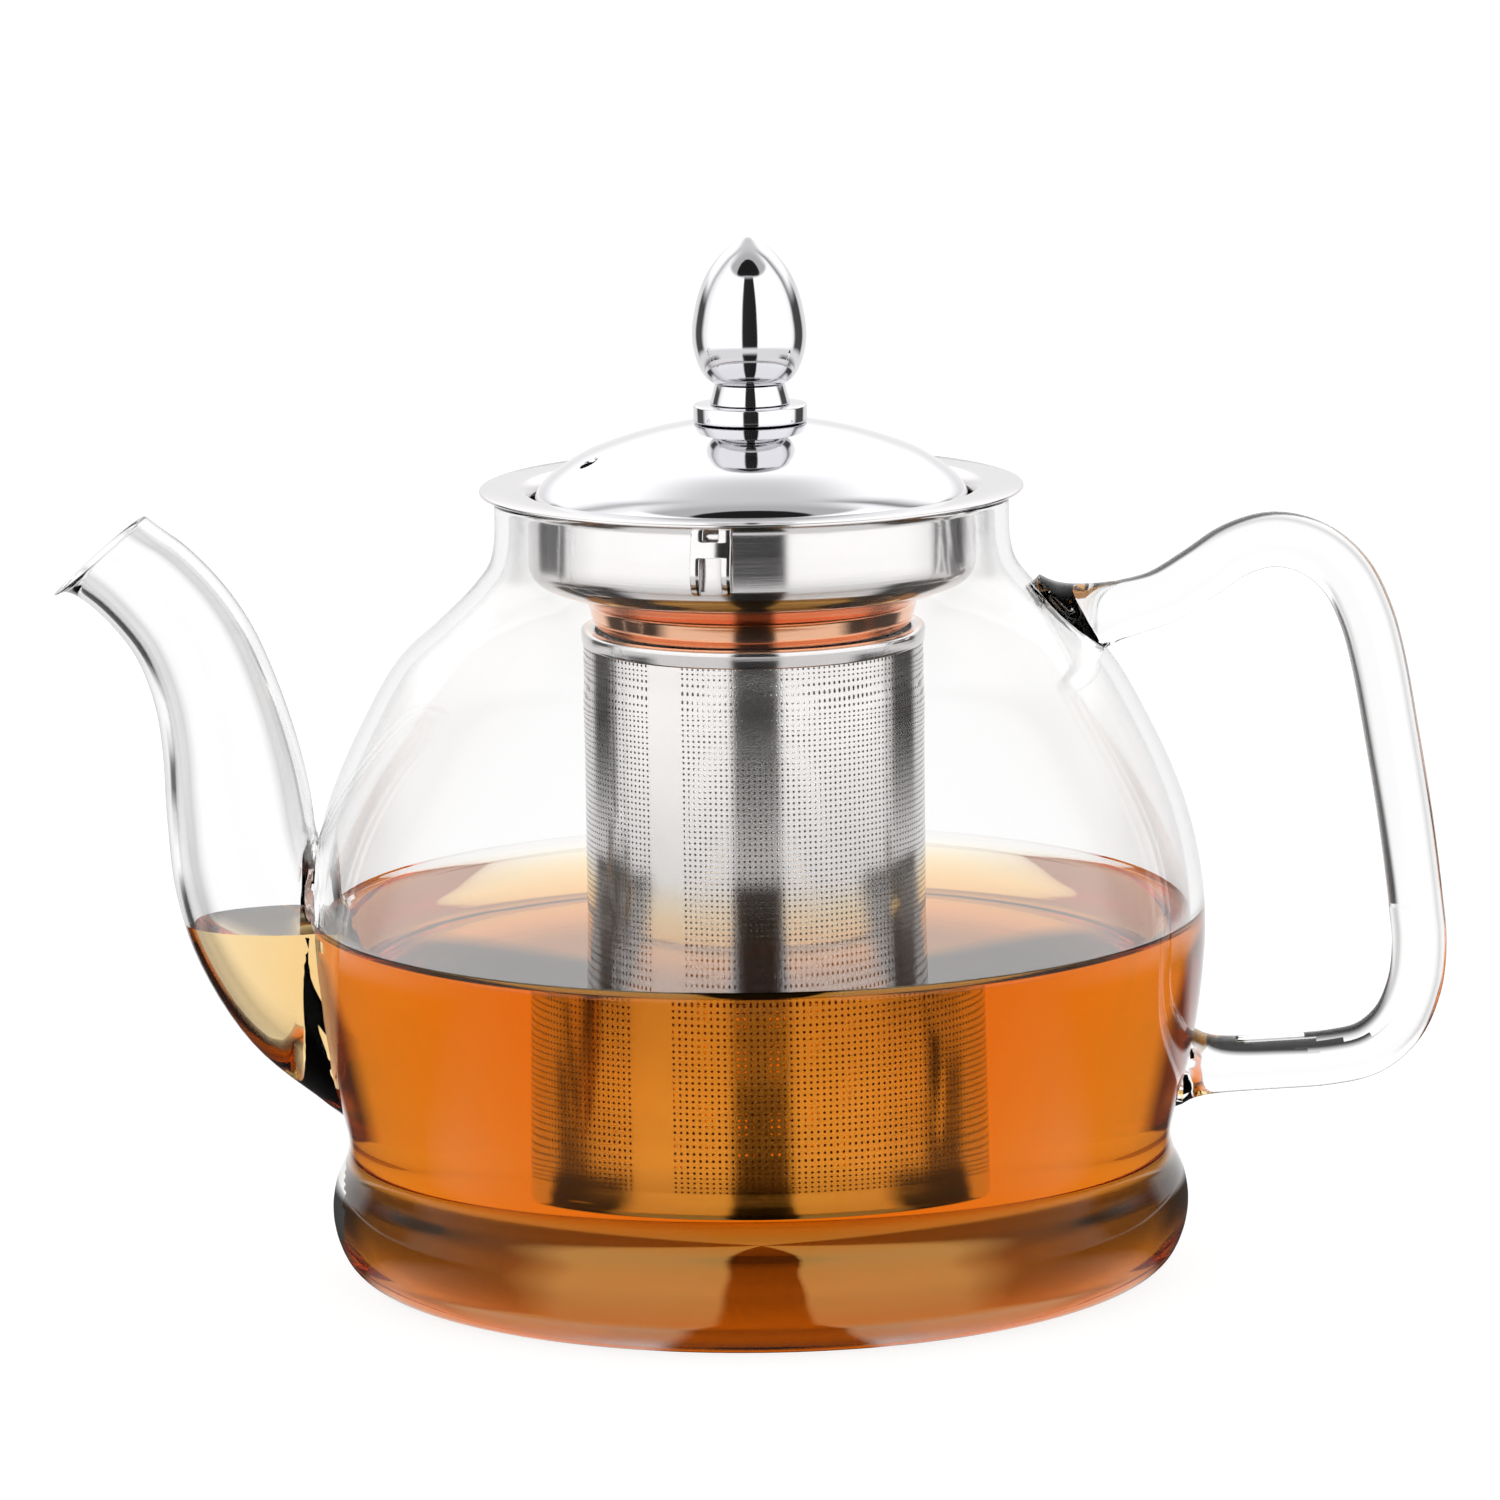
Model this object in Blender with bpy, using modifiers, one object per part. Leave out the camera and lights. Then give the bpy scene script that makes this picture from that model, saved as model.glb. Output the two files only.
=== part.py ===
"""A glass teapot with a drop-in steel infuser and a steel lid.

Metres, +Z up. The pot's axis is Z, its base rests on z = 0, the spout points to -X
and the handle to +X.
"""

import math

import bmesh
import bpy
import numpy as np
from mathutils import Matrix, Vector

MM = 0.001

# Driving dimensions, in millimetres
GAP = 0.3                       # clearance left between touching pieces
GLASS_WALL = 2.1
GLASS_FLOOR = 2.6
GLASS_RIM_Z = 115.7
SPOUT_WALL = 1.6
HANDLE_RADIUS = 4.1
HANDLE_FLARE = 1.45             # how much thicker the rod is where it is fused on
STEEL = 0.6                     # sheet thickness of the infuser and the lid
FLANGE_RADIUS = 40.1
FLANGE_TOP_Z = 116.6
ROLL_RADIUS = 2.2               # the lip between the flange and the drum
DRUM_INNER = 32.3
DRUM_BOTTOM_Z = 105.2
THROAT_RADIUS = 21.0
THROAT_BOTTOM_Z = 93.4
TUBE_RADIUS = 25.1
TUBE_WALL = 0.5
TUBE_TOP_Z = 92.9
RING_TOP_Z = 95.6               # top of the ring that closes the tube round the throat
RING_CLEARANCE = 1.2            # the throat widens upwards, so the ring stands off it
BAND_TOP_Z = 19.8               # top of the infuser base's plain wall
INFUSER_BOTTOM_Z = 14.7
SPIGOT_DEPTH = 3.0              # how far the ring and the base reach inside the tube
CLIP_COUNT = 3
CLIP_TURN = -9.8                # degrees from straight in front (-Y), towards the spout
CLIP_WIDTH = 5.8
CLIP_WALL = 0.5
CLIP_TOP_Z = 114.3
WINDOW_WIDTH = 3.1
WINDOW_TOP_Z = 111.0
NOTCH_WIDTH = 2.2
NOTCH_DEPTH = 1.0
SKIRT_RADIUS = 31.4
SKIRT_TOP_Z = 115.3
SKIRT_BOTTOM_Z = 106.0
SKIRT_LIP = 1.2                 # how far the skirt's lower edge is rolled in
DOME_APEX_Z = 126.6
DOME_BALL_RADIUS = 62.0         # the crown is part of a ball this large
VENT_RADIUS = 1.25
VENT_PLACE = (-23.7, -8.0)      # x and y of the steam vent
KNOB_PLATE_RADIUS = 8.4
KNOB_PLATE_TOP_Z = 128.7
FERRULE_TOP_Z = 131.7
FERRULE_TOP_RADIUS = 5.2
FERRULE_LOW_RADIUS = 5.9
FINIAL_TOP_Z = 153.6
SCREW_RADIUS = 1.5
SCREW_TOP_Z = 142.0
SCREW_HEAD_RADIUS = 3.0
SCREW_HEAD_TOP_Z = 124.6
SCREW_HEAD_HEIGHT = 1.8
WASHER_RADIUS = 4.5
WASHER_TOP_Z = 125.5
WASHER_THICKNESS = 0.6
SMOOTH_ANGLE = 40.0             # degrees; a sharper edge than this stays sharp
BODY_STEPS = 48
STEEL_STEPS = 40
KNOB_STEPS = 24

# The blown body's outer face from the foot's edge up to the rim, as (radius, height)
BODY_OUTER = [
    (58.6, 0.0), (61.4, 1.8), (63.1, 5.0), (63.8, 9.0), (63.2, 13.0), (61.6, 16.4),
    (61.2, 19.4), (62.2, 24.0), (64.3, 32.0), (66.0, 43.0), (66.5, 52.5), (65.4, 62.0),
    (62.9, 71.0), (58.2, 81.5), (52.6, 91.0), (47.0, 96.2), (43.8, 99.2), (41.0, 102.2),
    (38.9, 105.2), (38.1, 108.2), (37.9, 111.0), (37.9, GLASS_RIM_Z),
]
# Spout sections from the root to the mouth: the lower side's and the upper side's
# (x, z), then half the width across
SPOUT_SECTIONS = [
    ((-55.9, 21.3), (-56.4, 60.8), 15.5),
    ((-65.9, 26.1), (-64.4, 62.5), 14.8),
    ((-75.3, 33.9), (-65.5, 65.4), 13.4),
    ((-82.8, 46.0), (-65.8, 68.4), 12.0),
    ((-86.1, 56.7), (-66.1, 71.9), 11.1),
    ((-87.2, 68.2), (-67.0, 76.9), 10.3),
    ((-87.6, 78.2), (-68.3, 81.9), 9.6),
    ((-88.6, 85.3), (-70.4, 88.3), 9.1),
    ((-91.1, 92.2), (-73.7, 96.2), 8.8),
    ((-94.7, 97.2), (-77.8, 102.6), 8.6),
    ((-98.9, 100.8), (-83.3, 108.5), 8.6),
    ((-103.2, 101.6), (-89.4, 113.2), 8.8),
]
# The handle's centreline, as (x, z), from the shoulder down to the belly
HANDLE_LINE = [
    (41.1, 96.1), (48.9, 96.9), (54.6, 97.6), (60.1, 99.1), (65.8, 102.5), (71.2, 106.0),
    (77.1, 107.5), (83.0, 105.9), (87.5, 102.0), (90.4, 96.3), (92.2, 89.8),
    (94.2, 78.7), (96.3, 65.7), (97.9, 52.7), (98.4, 46.6), (97.7, 40.3), (95.2, 34.5),
    (90.9, 30.8), (85.2, 29.4), (76.2, 28.8), (66.2, 28.3), (58.2, 28.2),
]


def clear_scene():
    for obj in list(bpy.data.objects):
        bpy.data.objects.remove(obj)


def new_collection(name):
    collection = bpy.data.collections.new(name)
    bpy.context.scene.collection.children.link(collection)
    return collection


def principled(name, colour, metallic, roughness, transmission=0.0):
    material = bpy.data.materials.new(name)
    material.use_nodes = True
    shader = material.node_tree.nodes["Principled BSDF"]
    shader.inputs["Base Color"].default_value = (*colour, 1.0)
    shader.inputs["Metallic"].default_value = metallic
    shader.inputs["Roughness"].default_value = roughness
    shader.inputs["Transmission Weight"].default_value = transmission
    return material


def clear_glass():
    return principled("clear_glass", (0.96, 0.98, 0.98), 0.0, 0.02, 1.0)


def mirror_steel():
    return principled("mirror_steel", (0.80, 0.80, 0.82), 1.0, 0.06)


def satin_steel():
    return principled("satin_steel", (0.72, 0.71, 0.70), 1.0, 0.28)


def perforated_steel():
    return principled("perforated_steel", (0.62, 0.60, 0.58), 1.0, 0.35)


def add_object(name, mesh, collection, material):
    obj = bpy.data.objects.new(name, mesh)
    collection.objects.link(obj)
    if material:
        mesh.materials.append(material)
    return obj


def as_cutter(obj):
    obj.hide_render = True
    obj.display_type = "WIRE"
    return obj


def turned(name, outline, collection, material=None, steps=STEEL_STEPS, closed=True):
    """Turns an outline of (radius, height) about Z. It runs down the outer side first."""
    shape = bmesh.new()
    corners = [shape.verts.new((r * MM, 0.0, z * MM)) for r, z in outline]
    for a, b in zip(corners, corners[1:]):
        shape.edges.new((a, b))
    if closed:
        shape.edges.new((corners[-1], corners[0]))
    mesh = bpy.data.meshes.new(name)
    shape.to_mesh(mesh)
    shape.free()
    obj = add_object(name, mesh, collection, material)
    screw = obj.modifiers.new("turn", "SCREW")
    screw.axis = "Z"
    screw.angle = math.tau
    screw.steps = steps
    screw.render_steps = steps
    screw.use_merge_vertices = True
    screw.merge_threshold = 0.00002
    screw.use_smooth_shade = True
    return obj


def cut(obj, cutter):
    boolean = obj.modifiers.new("cut_" + cutter.name, "BOOLEAN")
    boolean.operation = "DIFFERENCE"
    boolean.solver = "EXACT"
    boolean.object = cutter


def offset(line, distance):
    """The (radius, height) line moved sideways, to its left as it is walked."""
    points = np.array(line, float)
    along = np.gradient(points, axis=0)
    along /= np.linalg.norm(along, axis=1)[:, None]
    left = np.stack([-along[:, 1], along[:, 0]], axis=1)
    return [tuple(p) for p in points + left * distance]


def arc(centre, radius, start, end, count):
    """Points round part of a circle, with the angles in degrees."""
    angles = np.radians(np.linspace(start, end, count))
    return [
        (centre[0] + radius * math.cos(a), centre[1] + radius * math.sin(a))
        for a in angles
    ]


def block(name, size, collection, location, turn=0.0):
    """A box cutter turned about Z by an angle in radians. Sizes are in millimetres."""
    mesh = bpy.data.meshes.new(name)
    shape = bmesh.new()
    bmesh.ops.create_cube(shape, size=1.0)
    bmesh.ops.scale(shape, vec=Vector(size) * MM, verts=shape.verts)
    shape.to_mesh(mesh)
    shape.free()
    obj = add_object(name, mesh, collection, None)
    obj.location = Vector(location) * MM
    obj.rotation_euler.z = turn
    return as_cutter(obj)


def rod(name, radius, low, high, collection, place):
    """An upright round cutter between two heights, in millimetres."""
    mesh = bpy.data.meshes.new(name)
    shape = bmesh.new()
    bmesh.ops.create_cone(
        shape,
        cap_ends=True,
        segments=KNOB_STEPS,
        radius1=radius * MM,
        radius2=radius * MM,
        depth=(high - low) * MM,
    )
    shape.to_mesh(mesh)
    shape.free()
    obj = add_object(name, mesh, collection, None)
    obj.location = (place[0] * MM, place[1] * MM, (low + high) / 2 * MM)
    return as_cutter(obj)


def body_outline():
    """The whole wall: across the floor, up the inner face, and down the outer face."""
    inner = [p for p in offset(BODY_OUTER, GLASS_WALL) if p[1] > 2 * GLASS_FLOOR]
    floor_edge = (inner[0][0] - 2.4, GLASS_FLOOR + 0.3)
    floor = [(0.0, GLASS_FLOOR), (floor_edge[0] - 3.0, GLASS_FLOOR), floor_edge]
    return floor + inner + list(reversed(BODY_OUTER)) + [(0.0, 0.0)]


def envelope(collection):
    """The space the body takes, a little larger, which trims what is fused on to it."""
    outside = offset(BODY_OUTER, -GAP)
    top = GLASS_RIM_Z + 10.0
    outline = [(0.0, top), (outside[-1][0], top)] + list(reversed(outside)) + [(0.0, -1.0)]
    return as_cutter(
        turned("body_envelope", outline, collection, steps=BODY_STEPS, closed=False)
    )


def spout_tube(name, inset, collection, material, extend=0.0):
    """A tube through the spout's sections, each one a squashed circle. inset makes it
    thinner, and extend carries both ends further out."""
    shape = bmesh.new()
    rings = []
    last = len(SPOUT_SECTIONS) - 1
    for index, (low, high, half_width) in enumerate(SPOUT_SECTIONS):
        low, high = Vector((low[0], 0.0, low[1])), Vector((high[0], 0.0, high[1]))
        across = (high - low).normalized()
        outwards = Vector((-across.z, 0.0, across.x))
        centre = (low + high) / 2
        if index == 0:
            centre -= outwards * extend
        if index == last:
            centre += outwards * extend
        half_height = (high - low).length / 2 - inset
        turn = Matrix((across, Vector((0.0, 1.0, 0.0)), outwards)).transposed().to_4x4()
        place = Matrix.Translation(centre * MM) @ turn
        size = Matrix.Diagonal((half_height * MM, (half_width - inset) * MM, 1.0, 1.0))
        made = bmesh.ops.create_circle(
            shape, segments=KNOB_STEPS, radius=1.0, matrix=place @ size
        )
        ring = made["verts"]
        rings.append(
            [e for e in {e for v in ring for e in v.link_edges} if e.verts[0] in ring]
        )
    for first, second in zip(rings, rings[1:]):
        bmesh.ops.bridge_loops(shape, edges=first + second)
    bmesh.ops.holes_fill(shape, edges=shape.edges, sides=0)
    bmesh.ops.recalc_face_normals(shape, faces=shape.faces)
    mesh = bpy.data.meshes.new(name)
    shape.to_mesh(mesh)
    shape.free()
    mesh.shade_smooth()
    mesh.set_sharp_from_angle(angle=math.radians(SMOOTH_ANGLE))
    return add_object(name, mesh, collection, material)


def make_pot(parts, cutters):
    glass = clear_glass()
    trim = envelope(cutters)
    bore = as_cutter(spout_tube("spout_bore", SPOUT_WALL, cutters, None, extend=3.0))

    body = turned("glass_body", body_outline(), parts, glass, BODY_STEPS, closed=False)
    cut(body, bore)

    spout = spout_tube("glass_spout", 0.0, parts, glass)
    cut(spout, bore)
    cut(spout, trim)

    handle = make_handle(parts, glass)
    cut(handle, trim)


def make_handle(parts, glass):
    """A solid round rod, thicker for a short way at each end where it meets the body."""
    data = bpy.data.curves.new("handle_line", "CURVE")
    data.dimensions = "3D"
    spline = data.splines.new("POLY")
    spline.points.add(len(HANDLE_LINE) - 1)
    count = len(HANDLE_LINE)
    for index, (x, z) in enumerate(HANDLE_LINE):
        spline.points[index].co = (x * MM, 0.0, z * MM, 1.0)
        from_end = min(index, count - 1 - index)
        spline.points[index].radius = HANDLE_FLARE if from_end < 2 else 1.0
    data.bevel_depth = HANDLE_RADIUS * MM
    data.bevel_resolution = 4
    data.use_fill_caps = True
    curve = bpy.data.objects.new("handle_line", data)
    parts.objects.link(curve)
    graph = bpy.context.evaluated_depsgraph_get()
    mesh = bpy.data.meshes.new_from_object(curve.evaluated_get(graph))
    shape = bmesh.new()
    shape.from_mesh(mesh)
    bmesh.ops.remove_doubles(shape, verts=shape.verts, dist=0.00001)
    bmesh.ops.recalc_face_normals(shape, faces=shape.faces)
    shape.to_mesh(mesh)
    shape.free()
    mesh.shade_smooth()
    mesh.set_sharp_from_angle(angle=math.radians(SMOOTH_ANGLE))
    obj = add_object("glass_handle", mesh, parts, glass)
    obj.matrix_world = curve.matrix_world
    bpy.data.objects.remove(curve)
    return obj


def collar_outline():
    """The stamped collar: a flat flange, a rolled lip, a drum, a cone and a throat."""
    lip = (DRUM_INNER + ROLL_RADIUS, FLANGE_TOP_Z - ROLL_RADIUS)
    inside = arc(lip, ROLL_RADIUS, 90, 180, 5)
    outside = arc(lip, ROLL_RADIUS - STEEL, 180, 90, 5)
    top = [(FLANGE_RADIUS, FLANGE_TOP_Z), (FLANGE_RADIUS, FLANGE_TOP_Z - STEEL)]
    under = [
        (DRUM_INNER + STEEL, DRUM_BOTTOM_Z),
        (DRUM_INNER - 0.5, DRUM_BOTTOM_Z - 1.6),
        (28.4, 101.0),
        (23.5, 98.5),
        (THROAT_RADIUS, THROAT_BOTTOM_Z),
    ]
    over = [
        (THROAT_RADIUS - STEEL, THROAT_BOTTOM_Z),
        (23.1, 99.0),
        (28.2, 101.7),
        (DRUM_INNER - 0.9, DRUM_BOTTOM_Z - 1.0),
        (DRUM_INNER, DRUM_BOTTOM_Z + 0.3),
    ]
    return top + list(reversed(outside)) + under + over + list(reversed(inside))


def top_ring_outline():
    """Closes the tube's top round the collar's throat, with a spigot inside the tube."""
    inner = THROAT_RADIUS + RING_CLEARANCE
    spigot = TUBE_RADIUS - TUBE_WALL - GAP
    top = RING_TOP_Z
    low = TUBE_TOP_Z - SPIGOT_DEPTH
    return [
        (inner + 0.3, top), (TUBE_RADIUS - 0.9, top - 0.2), (TUBE_RADIUS, top - 0.9),
        (TUBE_RADIUS, TUBE_TOP_Z + GAP), (spigot, TUBE_TOP_Z + GAP), (spigot, low),
        (spigot - STEEL, low), (spigot - STEEL, top - 1.0), (inner, top - 0.7),
    ]


def tube_outline():
    inner = TUBE_RADIUS - TUBE_WALL
    bottom = BAND_TOP_Z + GAP
    return [
        (TUBE_RADIUS, TUBE_TOP_Z), (TUBE_RADIUS, bottom), (inner, bottom), (inner, TUBE_TOP_Z),
    ]


def base_outline():
    """A shallow cup that stands in for the tube's floor, with a spigot up inside it."""
    spigot = TUBE_RADIUS - TUBE_WALL - GAP
    low = INFUSER_BOTTOM_Z
    return [
        (0.0, low + STEEL), (spigot - 1.0, low + STEEL), (spigot - STEEL, low + 1.4),
        (spigot - STEEL, BAND_TOP_Z + SPIGOT_DEPTH), (spigot, BAND_TOP_Z + SPIGOT_DEPTH),
        (spigot, BAND_TOP_Z), (TUBE_RADIUS, BAND_TOP_Z), (TUBE_RADIUS, low + 0.8),
        (TUBE_RADIUS - 0.8, low), (0.0, low),
    ]


def clip_angles():
    """Each clip's direction about Z, in radians from +X."""
    first = math.radians(-90.0 + CLIP_TURN)
    return [first + math.tau * index / CLIP_COUNT for index in range(CLIP_COUNT)]


def make_clip(index, angle, parts, cutters, steel):
    """A bowed leaf with two legs, hung by its top edge on the outside of the drum. The
    object's origin is on the line that it flexes about."""
    line = [(33.7, CLIP_TOP_Z), (34.0, 112.8), (34.75, 109.2), (34.6, 107.4), (34.0, 105.5)]
    outer = offset(line, CLIP_WALL)
    edge = outer + list(reversed(line))
    hinge = Vector((line[0][0], 0.0, line[0][1]))
    name = f"spring_clip_{index + 1}"
    shape = bmesh.new()
    corners = [
        shape.verts.new(((r - hinge.x) * MM, -CLIP_WIDTH / 2 * MM, (z - hinge.z) * MM))
        for r, z in edge
    ]
    face = shape.faces.new(corners)
    made = bmesh.ops.extrude_face_region(shape, geom=[face])
    moved = [v for v in made["geom"] if isinstance(v, bmesh.types.BMVert)]
    bmesh.ops.translate(shape, vec=(0.0, CLIP_WIDTH * MM, 0.0), verts=moved)
    bmesh.ops.recalc_face_normals(shape, faces=shape.faces)
    mesh = bpy.data.meshes.new(name)
    shape.to_mesh(mesh)
    shape.free()
    obj = add_object(name, mesh, parts, steel)
    turn = Matrix.Rotation(angle, 4, "Z")
    obj.matrix_world = turn @ Matrix.Translation(hinge * MM)

    middle = turn @ Vector((34.2, 0.0, 0.0))
    low = CLIP_TOP_Z - 12.0
    window = block(
        f"{name}_window",
        (4.0, WINDOW_WIDTH, WINDOW_TOP_Z - low),
        cutters,
        (middle.x, middle.y, (WINDOW_TOP_Z + low) / 2),
        angle,
    )
    notch = block(
        f"{name}_notch",
        (4.0, NOTCH_WIDTH, 2 * NOTCH_DEPTH),
        cutters,
        (middle.x, middle.y, CLIP_TOP_Z),
        angle,
    )
    cut(obj, window)
    cut(obj, notch)
    return obj


def make_infuser(parts, cutters):
    satin = satin_steel()
    mesh_steel = perforated_steel()
    turned("infuser_collar", collar_outline(), parts, satin)
    turned("infuser_top_ring", top_ring_outline(), parts, satin)
    turned("infuser_tube", tube_outline(), parts, mesh_steel)
    turned("infuser_base", base_outline(), parts, satin, closed=False)
    for index, angle in enumerate(clip_angles()):
        make_clip(index, angle, parts, cutters, satin)


def crown_height(radius):
    """The height of the dome's ball at a distance from the axis."""
    drop = DOME_BALL_RADIUS - math.sqrt(DOME_BALL_RADIUS ** 2 - radius ** 2)
    return DOME_APEX_Z - drop


def dome_line():
    """The dome's top face: a shallow ball, turned down more steeply at the edge."""
    crown = [(r, crown_height(r)) for r in (6.0, 12.0, 17.0, 21.5, 25.0)]
    return crown + [(28.2, 119.3), (30.4, 117.6), (31.7, 116.1), (32.15, 115.2)]


def dome_outline():
    over = [(SCREW_RADIUS + GAP, DOME_APEX_Z)] + dome_line()
    under = offset(over, -STEEL)
    under[0] = (SCREW_RADIUS + GAP, DOME_APEX_Z - STEEL)
    return over + list(reversed(under))


def plate_outline():
    """A round plate whose underside follows the dome."""
    hole = SCREW_RADIUS + GAP
    rim = KNOB_PLATE_RADIUS
    top = KNOB_PLATE_TOP_Z
    under = [(r, crown_height(r) + GAP) for r in (rim, 5.0, hole)]
    return [(hole, top), (rim - 0.3, top), (rim, top - 0.3), *under]


def ferrule_outline():
    hole = SCREW_RADIUS + GAP
    low = KNOB_PLATE_TOP_Z + GAP
    return [
        (hole, FERRULE_TOP_Z), (FERRULE_TOP_RADIUS, FERRULE_TOP_Z),
        (FERRULE_LOW_RADIUS, low + 0.3), (FERRULE_LOW_RADIUS, low), (hole, low),
    ]


def finial_outline():
    """A pointed egg with a blind hole for the screw."""
    hole = SCREW_RADIUS + GAP
    low = FERRULE_TOP_Z + GAP
    outside = [
        (0.0, FINIAL_TOP_Z), (0.9, 153.3), (1.9, 152.5), (4.1, 150.6), (5.8, 148.5),
        (7.6, 144.4), (8.4, 140.6), (8.4, 137.9), (8.0, 135.8), (7.2, 133.8), (6.3, 132.5),
        (FERRULE_TOP_RADIUS, low),
    ]
    hole_top = SCREW_TOP_Z + 1.0
    return outside + [(hole, low), (hole, hole_top), (0.0, hole_top)]


def screw_outline():
    head_top = SCREW_HEAD_TOP_Z
    head_low = head_top - SCREW_HEAD_HEIGHT
    return [
        (0.0, SCREW_TOP_Z), (SCREW_RADIUS, SCREW_TOP_Z - 0.5), (SCREW_RADIUS, head_top),
        (SCREW_HEAD_RADIUS, head_top), (SCREW_HEAD_RADIUS, head_low + 0.6),
        (SCREW_HEAD_RADIUS - 0.8, head_low), (0.0, head_low),
    ]


def washer_outline():
    hole = SCREW_RADIUS + GAP
    low = WASHER_TOP_Z - WASHER_THICKNESS
    return [(WASHER_RADIUS, WASHER_TOP_Z), (WASHER_RADIUS, low), (hole, low), (hole, WASHER_TOP_Z)]


def skirt_outline():
    """The ring under the dome that drops into the drum, rolled in at its lower edge."""
    inner = SKIRT_RADIUS - STEEL
    low = SKIRT_BOTTOM_Z
    return [
        (SKIRT_RADIUS, SKIRT_TOP_Z), (SKIRT_RADIUS, low + 0.6), (SKIRT_RADIUS - 0.5, low),
        (inner - SKIRT_LIP, low), (inner - SKIRT_LIP, low + STEEL), (inner, low + STEEL + 0.6),
        (inner, SKIRT_TOP_Z),
    ]


def make_lid(parts, cutters):
    bright = mirror_steel()
    satin = satin_steel()
    dome = turned("lid_dome", dome_outline(), parts, bright)
    vent = rod("steam_vent", VENT_RADIUS, SKIRT_TOP_Z, DOME_APEX_Z, cutters, VENT_PLACE)
    cut(dome, vent)
    turned("lid_skirt", skirt_outline(), parts, satin)
    turned("knob_plate", plate_outline(), parts, bright, KNOB_STEPS)
    turned("knob_ferrule", ferrule_outline(), parts, bright, KNOB_STEPS)
    turned("knob_finial", finial_outline(), parts, bright, KNOB_STEPS, closed=False)
    turned("knob_screw", screw_outline(), parts, satin, KNOB_STEPS, closed=False)
    turned("knob_washer", washer_outline(), parts, satin, KNOB_STEPS)


def main():
    clear_scene()
    parts = new_collection("glass_teapot")
    cutters = new_collection("cutters")
    make_pot(parts, cutters)
    make_infuser(parts, cutters)
    make_lid(parts, cutters)


main()
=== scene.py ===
import math

import bmesh
import bpy
from mathutils import Matrix, Vector


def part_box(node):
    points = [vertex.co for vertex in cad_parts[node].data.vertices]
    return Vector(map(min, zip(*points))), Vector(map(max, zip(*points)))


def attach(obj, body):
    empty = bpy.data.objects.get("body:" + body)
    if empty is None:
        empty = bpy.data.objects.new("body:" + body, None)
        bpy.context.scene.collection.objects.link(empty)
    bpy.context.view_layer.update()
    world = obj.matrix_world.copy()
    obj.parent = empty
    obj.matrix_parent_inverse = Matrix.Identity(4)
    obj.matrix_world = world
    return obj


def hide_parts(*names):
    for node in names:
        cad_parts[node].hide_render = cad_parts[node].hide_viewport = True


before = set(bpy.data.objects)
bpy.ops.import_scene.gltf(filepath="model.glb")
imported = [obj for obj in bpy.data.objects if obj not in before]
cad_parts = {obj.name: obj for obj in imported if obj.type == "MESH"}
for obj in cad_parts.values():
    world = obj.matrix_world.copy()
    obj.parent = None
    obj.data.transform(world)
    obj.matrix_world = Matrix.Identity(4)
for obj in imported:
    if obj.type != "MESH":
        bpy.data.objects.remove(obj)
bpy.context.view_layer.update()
mm = 0.001
upright = Vector((0, 0, 1))
scene = bpy.context.scene
print("frame loaded:", len(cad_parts), "solids")


# a socket that can be used in sums, and the tree it lives in
class Wire:
    def __init__(self, finish, socket):
        self.finish = finish
        self.socket = socket

    def sum(self, operation, first, second=0.0):
        return self.finish.node("ShaderNodeMath", {"operation": operation}, {0: first, 1: second})

    def __add__(self, other):
        return self.sum("ADD", self, other)

    def __radd__(self, other):
        return self.sum("ADD", other, self)

    def __sub__(self, other):
        return self.sum("SUBTRACT", self, other)

    def __rsub__(self, other):
        return self.sum("SUBTRACT", other, self)

    def __mul__(self, other):
        return self.sum("MULTIPLY", self, other)

    def __rmul__(self, other):
        return self.sum("MULTIPLY", other, self)

    def __truediv__(self, other):
        return self.sum("DIVIDE", self, other)

    def __pow__(self, other):
        return self.sum("POWER", self, other)


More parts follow.
